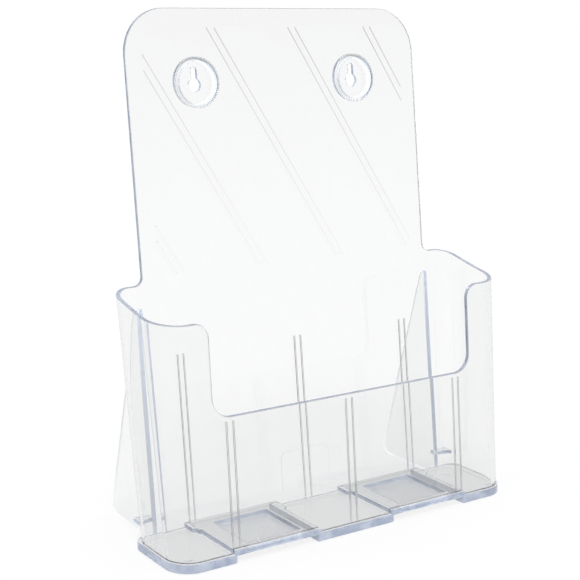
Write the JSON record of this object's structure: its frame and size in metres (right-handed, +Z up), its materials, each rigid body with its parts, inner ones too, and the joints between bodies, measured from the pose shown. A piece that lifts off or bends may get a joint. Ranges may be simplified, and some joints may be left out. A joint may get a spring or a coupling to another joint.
{
  "type": "magazine rack",
  "caption": "Clear moulded-plastic magazine holder with a leaning back, a low cut-out front pocket, wall keyholes and rear fins for a counter.",
  "frame": {"origin": "middle of the footprint, on the counter that the feet stand on", "axes": "+X to the right of a person facing the rack, +Y to the rear, +Z up"},
  "size_m": [0.2424, 0.1078, 0.298],
  "materials": {
    "clear_wall": "clear gloss",
    "clear_slab": "clear gloss, bluish at its edges",
    "clear_fin": "clear gloss",
    "textured_pad": "clear, finely grooved"
  },
  "bodies": {
    "root": {"back_panel": "clear_wall", "front_wall": "clear_wall", "centre_foot": "clear_slab", "left_keyhole_cup": "clear_wall", "right_keyhole_cup": "clear_wall", "left_side_wall": "clear_wall", "right_side_wall": "clear_wall", "left_foot": "clear_slab", "right_foot": "clear_slab", "left_platform": "clear_slab", "right_platform": "clear_slab", "left_textured_pad": "textured_pad", "right_textured_pad": "textured_pad", "left_stand_fin": "clear_fin", "right_stand_fin": "clear_fin", "left_corner_ledge": "clear_slab", "right_corner_ledge": "clear_slab"}
  },
  "joints": []
}
